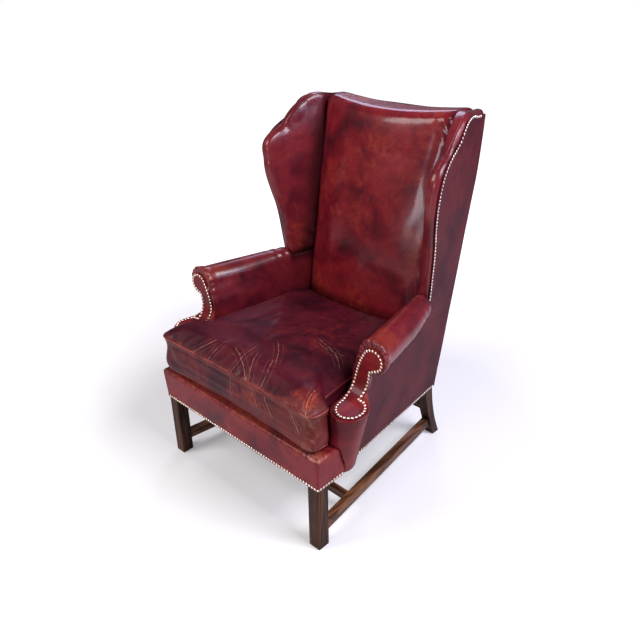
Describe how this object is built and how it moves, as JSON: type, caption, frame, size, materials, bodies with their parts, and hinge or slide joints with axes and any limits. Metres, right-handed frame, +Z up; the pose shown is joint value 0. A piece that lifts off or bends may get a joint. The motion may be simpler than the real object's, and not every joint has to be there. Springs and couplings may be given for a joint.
{
  "type": "wingback chair",
  "caption": "High-backed wing chair with rolled arms, a loose T-shaped seat cushion, leather cover edged with brass nails, and square legs joined by stretchers.",
  "frame": {"origin": "on the floor, under the middle of the chair's bounding box", "axes": "+Z up; the sitter faces -Y; +X is to the right of someone who looks at the chair's front"},
  "size_m": [0.844, 0.8205, 1.1371],
  "materials": {
    "wood": "satin",
    "frame_wood": "matte",
    "leather": "satin",
    "panel_leather": "satin",
    "nails": "satin",
    "webbing": "matte",
    "hessian": "matte",
    "deck_cloth": "matte",
    "spring_steel": "satin",
    "cushion_filling": "matte"
  },
  "bodies": {
    "chair": {"arm_facing_left": "leather", "arm_facing_right": "leather", "arm_front_left": "leather", "arm_front_right": "leather", "arm_pad_left": "leather", "arm_pad_right": "leather", "arm_rail_left": "frame_wood", "arm_rail_right": "frame_wood", "arm_stump_left": "frame_wood", "arm_stump_right": "frame_wood", "back_hessian": "hessian", "back_nails": "nails", "back_post_left": "frame_wood", "back_post_right": "frame_wood", "back_tacking_rail": "frame_wood", "back_webbing": "webbing", "border_nails": "nails", "corner_blocks": "frame_wood", "crest_rail": "frame_wood", "cross_stretcher": "wood", "dust_cover": "deck_cloth", "facing_nails_left": "nails", "facing_nails_right": "nails", "front_border": "leather", "front_leg_left": "wood", "front_leg_right": "wood", "front_rail": "frame_wood", "inside_back": "leather", "outside_back": "panel_leather", "rear_leg_left": "wood", "rear_leg_right": "wood", "rear_rail": "frame_wood", "rear_stretcher": "wood", "seat_deck": "deck_cloth", "seat_springs": "spring_steel", "seat_webbing": "webbing", "side_nails_left": "nails", "side_nails_right": "nails", "side_panel_left": "panel_leather", "side_panel_right": "panel_leather", "side_rail_left": "frame_wood", "side_rail_right": "frame_wood", "side_stretcher_left": "wood", "side_stretcher_right": "wood", "spring_hessian": "hessian", "wing_nails_left": "nails", "wing_nails_right": "nails", "wing_pad_left": "leather", "wing_pad_right": "leather", "wing_post_left": "frame_wood", "wing_post_right": "frame_wood", "wing_rail_left": "frame_wood", "wing_rail_right": "frame_wood"},
    "cushion": {"cushion_cover": "leather", "cushion_core": "cushion_filling"}
  },
  "joints": [
    {"name": "cushion_lift", "type": "slide", "parent": "chair", "child": "cushion", "axis": [0, -0.7071, 0.7071], "range_m": [0, 0.8]}
  ]
}
